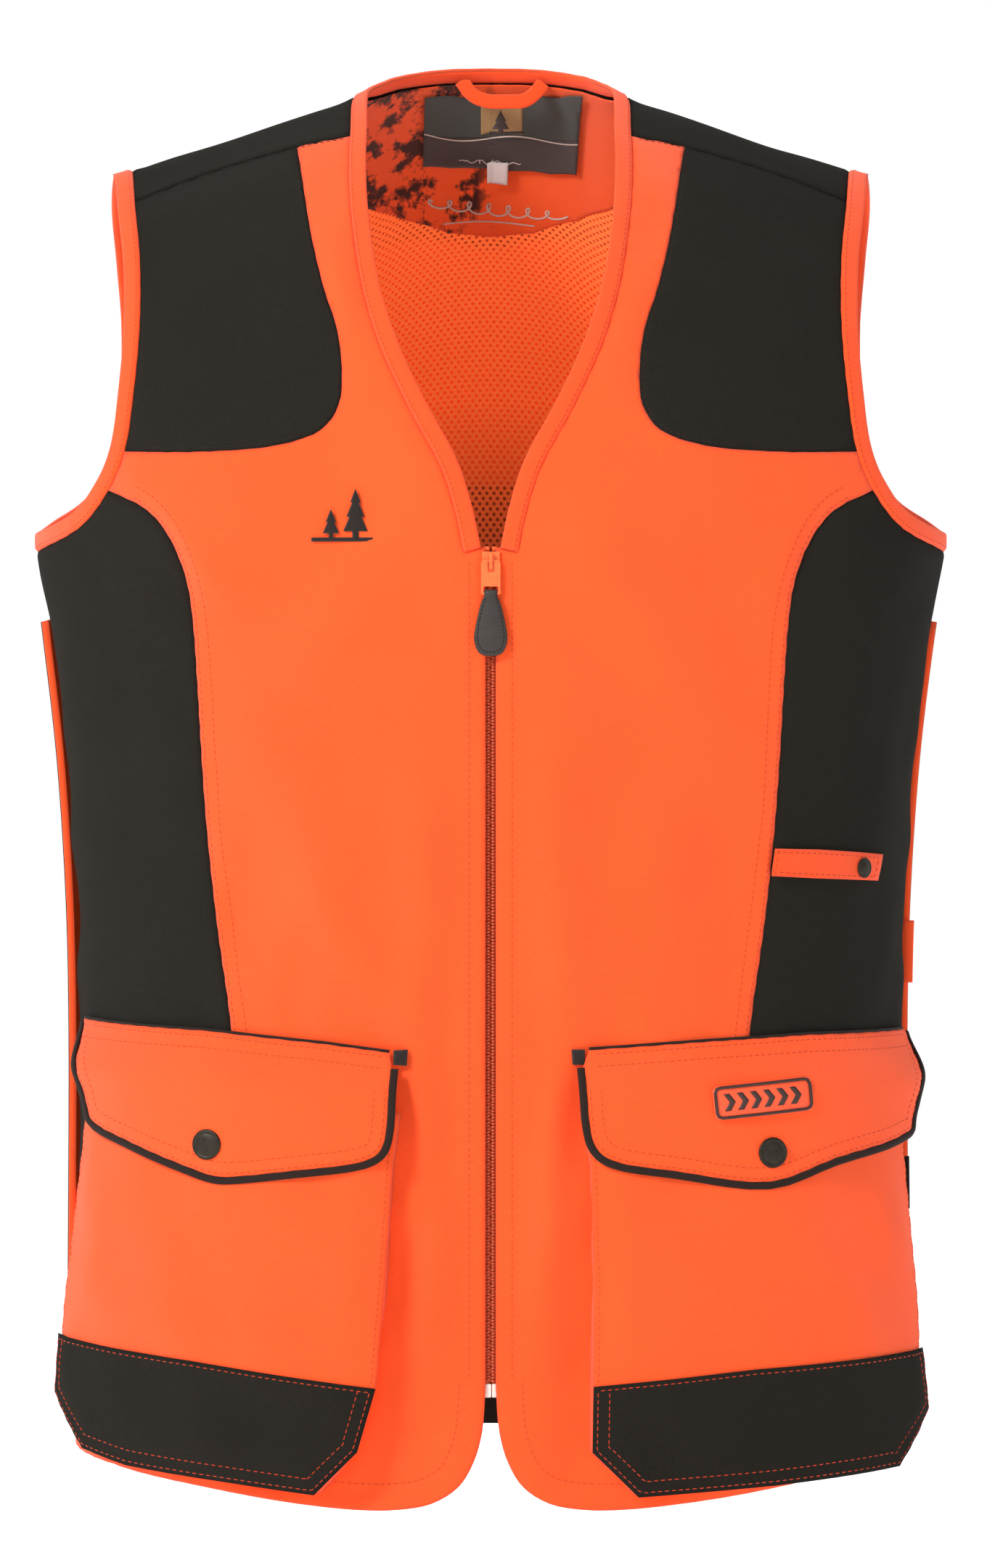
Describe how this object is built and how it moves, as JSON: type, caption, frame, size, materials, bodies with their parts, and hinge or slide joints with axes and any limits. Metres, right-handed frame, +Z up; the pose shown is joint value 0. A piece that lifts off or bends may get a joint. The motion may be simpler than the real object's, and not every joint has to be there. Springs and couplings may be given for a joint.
{
  "type": "hunting vest",
  "caption": "Sleeveless blaze orange hunting vest with dark shoulder patches, a front zip, snap-flap cargo pockets, a game pocket and mesh lining.",
  "frame": {"origin": "between the two neck points, on the line that runs over the shoulders", "axes": "+Z up, +X to the wearer's left, the front faces -Y"},
  "size_m": [0.4522, 0.2602, 0.7123],
  "materials": {
    "orange_cloth": "plain-weave polyester, matt",
    "orange_binding": "ribbed woven tape, slight sheen",
    "mesh_lining": "knitted mesh with small round holes",
    "dark_twill": "brushed cotton twill, matt",
    "dark_piping": "dark brown woven tape",
    "zip_coil": "moulded nylon coil",
    "zip_metal": "orange lacquer on die-cast metal",
    "brown_leather": "oiled brown leather, stitched",
    "snap_metal": "gunmetal plating",
    "woven_label": "woven satin label",
    "white_label": "white satin label",
    "white_plastic": "moulded plastic"
  },
  "bodies": {
    "vest_shell": {"front_panel_left": "orange_cloth", "shoulder_patch_left": "dark_twill", "side_panel_left": "dark_twill", "armhole_binding_left": "orange_binding", "front_panel_right": "orange_cloth", "shoulder_patch_right": "dark_twill", "side_panel_right": "dark_twill", "armhole_binding_right": "orange_binding", "back_panel": "orange_cloth", "lower_back_panel": "dark_twill", "shoulder_yoke": "dark_twill", "neck_binding": "orange_binding", "neck_facing": "orange_cloth", "lining_back": "mesh_lining", "lining_left": "mesh_lining", "lining_right": "mesh_lining", "neck_label": "woven_label", "size_label": "white_label", "zip_coil_left": "zip_coil", "zip_tape_left": "orange_binding", "zip_top_stop_left": "zip_metal", "zip_coil_right": "zip_coil", "zip_tape_right": "orange_binding", "zip_top_stop_right": "zip_metal", "zip_box": "white_plastic", "zip_pin": "white_plastic", "pocket_face_left": "orange_cloth", "pocket_gusset_left": "orange_cloth", "pocket_patch_left": "dark_twill", "flap_bartack_left": "dark_piping", "snap_stud_left": "snap_metal", "pocket_face_right": "orange_cloth", "pocket_gusset_right": "orange_cloth", "pocket_patch_right": "dark_twill", "flap_bartack_right": "dark_piping", "snap_stud_right": "snap_metal", "chest_emblem": "dark_twill", "strap_snap_stud": "snap_metal", "side_tab": "orange_binding", "side_label": "dark_piping", "game_pocket": "orange_cloth", "game_pocket_tape_left": "dark_piping", "game_pocket_tape_right": "dark_piping"},
    "zip_slider": {"zip_slider": "zip_metal"},
    "pull_tab": {"pull_tab": "zip_metal"},
    "leather_pull": {"leather_pull": "brown_leather"},
    "flap_left": {"pocket_flap_left": "orange_cloth", "flap_piping_left": "dark_piping", "snap_cap_left": "snap_metal", "snap_socket_left": "snap_metal", "flap_badge": "snap_metal"},
    "flap_right": {"pocket_flap_right": "orange_cloth", "flap_piping_right": "dark_piping", "snap_cap_right": "snap_metal", "snap_socket_right": "snap_metal"},
    "side_strap": {"side_strap": "orange_binding", "strap_snap_cap": "snap_metal"},
    "hanging_loop": {"hanging_loop": "orange_binding"}
  },
  "joints": [
    {"name": "zip_slide", "type": "slide", "parent": "vest_shell", "child": "zip_slider", "axis": [0, 0, -1], "range_m": [0, 0.394]},
    {"name": "pull_tab_hinge", "type": "hinge", "parent": "zip_slider", "child": "pull_tab", "pos_m": [0, -0.1205, -0.2345], "axis": [-1, 0, 0], "range_deg": [0, 175]},
    {"name": "leather_hinge", "type": "hinge", "parent": "pull_tab", "child": "leather_pull", "pos_m": [0, -0.1205, -0.2505], "axis": [1, 0, 0], "range_deg": [-80, 0]},
    {"name": "flap_left_hinge", "type": "hinge", "parent": "vest_shell", "child": "flap_left", "pos_m": [0.15437, -0.09066, -0.466], "axis": [-0.8518, -0.5218, -0.0464], "range_deg": [0, 120]},
    {"name": "flap_right_hinge", "type": "hinge", "parent": "vest_shell", "child": "flap_right", "pos_m": [-0.14944, -0.09354, -0.46338], "axis": [-0.8717, 0.4822, 0.0879], "range_deg": [0, 120]},
    {"name": "strap_hinge", "type": "hinge", "parent": "vest_shell", "child": "side_strap", "pos_m": [0.13789, -0.10021, -0.38176], "axis": [-0.0739, -0.0148, -0.9972], "range_deg": [0, 150]},
    {"name": "loop_hinge", "type": "hinge", "parent": "vest_shell", "child": "hanging_loop", "pos_m": [0, 0.03456, 0.0075], "axis": [-1, 0, 0], "range_deg": [0, 120]}
  ]
}
